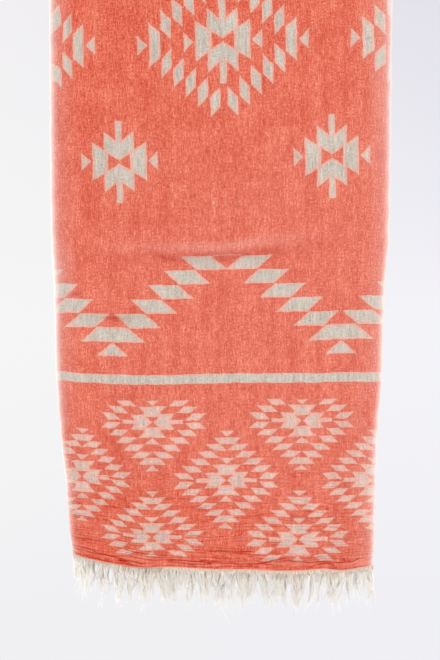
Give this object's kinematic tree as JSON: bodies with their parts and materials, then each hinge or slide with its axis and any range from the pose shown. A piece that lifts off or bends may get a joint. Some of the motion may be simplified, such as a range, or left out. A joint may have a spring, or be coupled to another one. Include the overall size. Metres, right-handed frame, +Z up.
{
  "type": "hung hammam towel",
  "caption": "Fringed cotton hammam towel, folded lengthwise and hung over a rail space at half its length, with a woven kilim pattern.",
  "frame": {"origin": "middle of the line on which the towel bears on its rail: the underside of the folded panels at the top bend", "axes": "+Z up, along the hanging length; +X to the right across the shown face; the shown face looks towards -Y"},
  "size_m": [0.4789, 0.086, 1.0252],
  "materials": {
    "coral_cotton": "soft crinkled double gauze, woven coral with natural motifs, colours swapped on the reverse",
    "natural_cotton": "undyed cotton warp ends, loose and fluffy, under a ribbed header strip"
  },
  "bodies": {
    "root": {"towel_cloth": "coral_cotton", "front_fringe": "natural_cotton", "back_fringe": "natural_cotton"}
  },
  "joints": []
}
